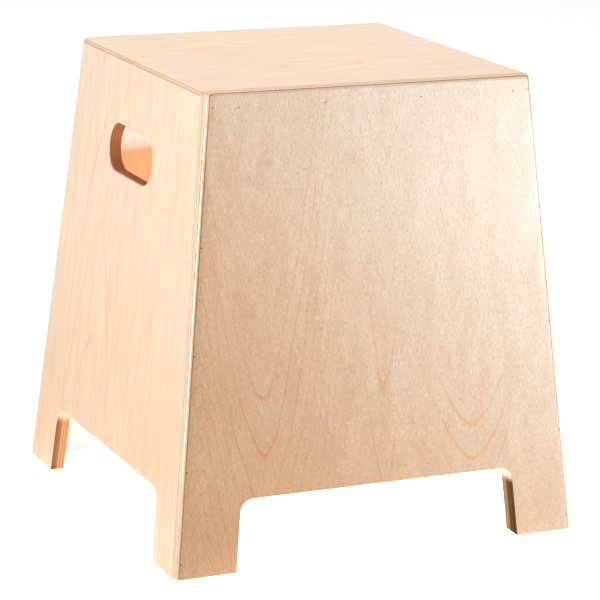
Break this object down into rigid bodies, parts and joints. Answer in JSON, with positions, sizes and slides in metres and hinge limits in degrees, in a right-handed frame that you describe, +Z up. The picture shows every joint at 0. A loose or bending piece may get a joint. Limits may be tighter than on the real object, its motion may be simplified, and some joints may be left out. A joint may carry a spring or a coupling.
{
  "type": "cajon",
  "caption": "Low tapered plywood seat cajon on four cut-out feet, open below, with hand holes and a snare behind its playing face.",
  "frame": {"origin": "on the floor, under the middle of the box", "axes": "+Z up, the playing face looks along -Y, +X to the right of someone facing the playing face"},
  "size_m": [0.377, 0.377, 0.4],
  "materials": {
    "case_plywood": "clear satin lacquer",
    "playing_plywood": "clear gloss lacquer",
    "frame_plywood": "clear satin lacquer",
    "softwood": "bare planed wood",
    "steel": "drawn wire",
    "zinc_steel": "zinc plated"
  },
  "bodies": {
    "root": {"seat_panel": "case_plywood", "left_side_panel": "case_plywood", "right_side_panel": "case_plywood", "back_panel": "case_plywood", "playing_panel": "playing_plywood", "front_frame_outer": "frame_plywood", "front_frame_inner": "frame_plywood", "seat_batten_left": "softwood", "seat_batten_right": "softwood", "snare_bar": "softwood", "playing_panel_brads": "steel", "seat_batten_screws": "zinc_steel", "snare_bar_screws": "zinc_steel", "snare_plate_screws": "zinc_steel", "snare_plate_left": "zinc_steel", "snare_plate_right": "zinc_steel", "snare_wires_left": "steel", "snare_wires_right": "steel"}
  },
  "joints": []
}
